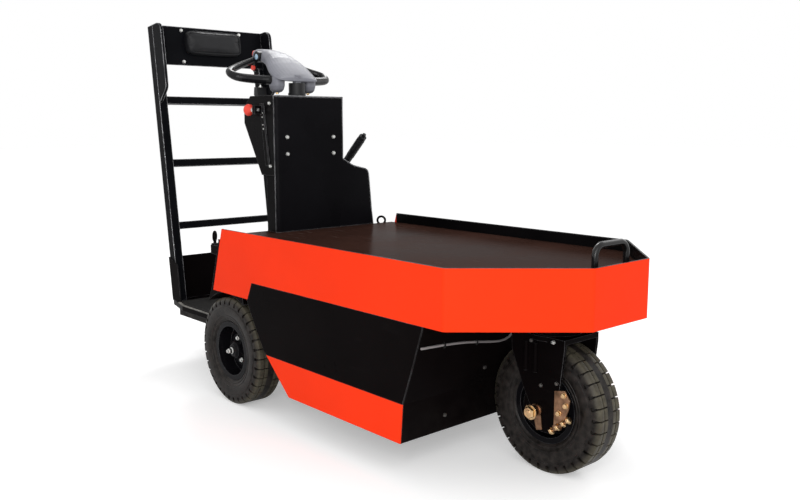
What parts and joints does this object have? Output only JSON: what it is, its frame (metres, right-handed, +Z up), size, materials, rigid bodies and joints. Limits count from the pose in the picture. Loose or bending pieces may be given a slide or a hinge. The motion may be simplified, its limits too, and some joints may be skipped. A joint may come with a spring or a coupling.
{
  "type": "stand-up tow tractor",
  "caption": "Stand-up electric tow tractor for baggage carts: rear operator platform with ladder backrest, console with tiller head, tray load deck and a steered front wheel in a fork.",
  "frame": {"origin": "centre of the bounding box in plan, on the floor under the wheels", "axes": "+X forward towards the single front wheel, +Y to the vehicle's left, +Z up"},
  "size_m": [2.4402, 0.92, 1.577],
  "materials": {
    "orange_paint": "gloss powder coat",
    "deck_coating": "satin coated plate",
    "rubber_mat": "smooth rubber",
    "black_paint": "satin powder coat",
    "frame_paint": "satin paint",
    "battery_case": "moulded",
    "motor_case": "painted casting",
    "vinyl_pad": "vinyl cover",
    "black_plastic": "moulded",
    "red_plastic": "gloss",
    "cable_sheath": "smooth sheath",
    "zinc_steel": "bright zinc",
    "grey_plastic": "fine texture",
    "gold_zinc": "yellow zinc",
    "tyre_rubber": "moulded",
    "rim_paint": "gloss black"
  },
  "bodies": {
    "chassis": {"deck_fascia": "orange_paint", "deck_plate": "deck_coating", "deck_mat": "rubber_mat", "deck_hoop": "black_paint", "nose_plate": "black_paint", "side_panels": "black_paint", "sill_panels": "orange_paint", "front_panel": "black_paint", "belly_pan": "frame_paint", "rear_bulkhead": "black_paint", "tie_eyes": "black_paint", "frame_rails": "frame_paint", "battery_block": "battery_case", "rear_axle": "frame_paint", "drive_motor": "motor_case", "platform": "black_paint", "platform_mat": "rubber_mat", "backrest_frame": "black_paint", "backrest_wings": "black_paint", "backrest_panel": "black_paint", "backrest_pad": "vinyl_pad", "kick_panel": "black_paint", "tow_hitch": "black_paint", "console_front": "black_paint", "console_box": "black_paint", "console_pedestal": "black_paint", "column_boot": "black_plastic", "dash_pod": "black_plastic", "lever_bracket": "black_paint", "parking_lever": "black_plastic", "stop_knob": "red_plastic", "brake_cable": "cable_sheath"},
    "steering_head": {"head_stem": "zinc_steel", "head_shell": "grey_plastic", "head_handles": "black_plastic", "head_buttons": "red_plastic"},
    "fork": {"fork": "black_paint", "front_axle": "black_paint", "brake_plate": "black_paint", "brake_linkage": "gold_zinc"},
    "front_wheel": {"front_tyre": "tyre_rubber", "front_rim": "rim_paint"},
    "rear_wheel_right": {"rear_tyre_right": "tyre_rubber", "rear_rim_right": "rim_paint"},
    "rear_wheel_left": {"rear_tyre_left": "tyre_rubber", "rear_rim_left": "rim_paint"}
  },
  "joints": [
    {"name": "steer", "type": "hinge", "parent": "chassis", "child": "fork", "pos_m": [0.98108, 0, 0.215], "axis": [0, 0, 1], "range_deg": [-75, 75]},
    {"name": "front_wheel_spin", "type": "hinge", "parent": "fork", "child": "front_wheel", "pos_m": [0.98108, 0, 0.215], "axis": [0, 1, 0], "continuous": true},
    {"name": "rear_right_spin", "type": "hinge", "parent": "chassis", "child": "rear_wheel_right", "pos_m": [-0.28892, -0.394, 0.215], "axis": [0, 1, 0], "continuous": true},
    {"name": "rear_left_spin", "type": "hinge", "parent": "chassis", "child": "rear_wheel_left", "pos_m": [-0.28892, 0.394, 0.215], "axis": [0, 1, 0], "continuous": true},
    {"name": "head_turn", "type": "hinge", "parent": "chassis", "child": "steering_head", "pos_m": [-0.43892, 0, 1.25], "axis": [0, 0, 1], "range_deg": [-80, 80]}
  ],
  "couplings": [
    {"joint": "head_turn", "follows": "steer", "ratio": 1}
  ]
}
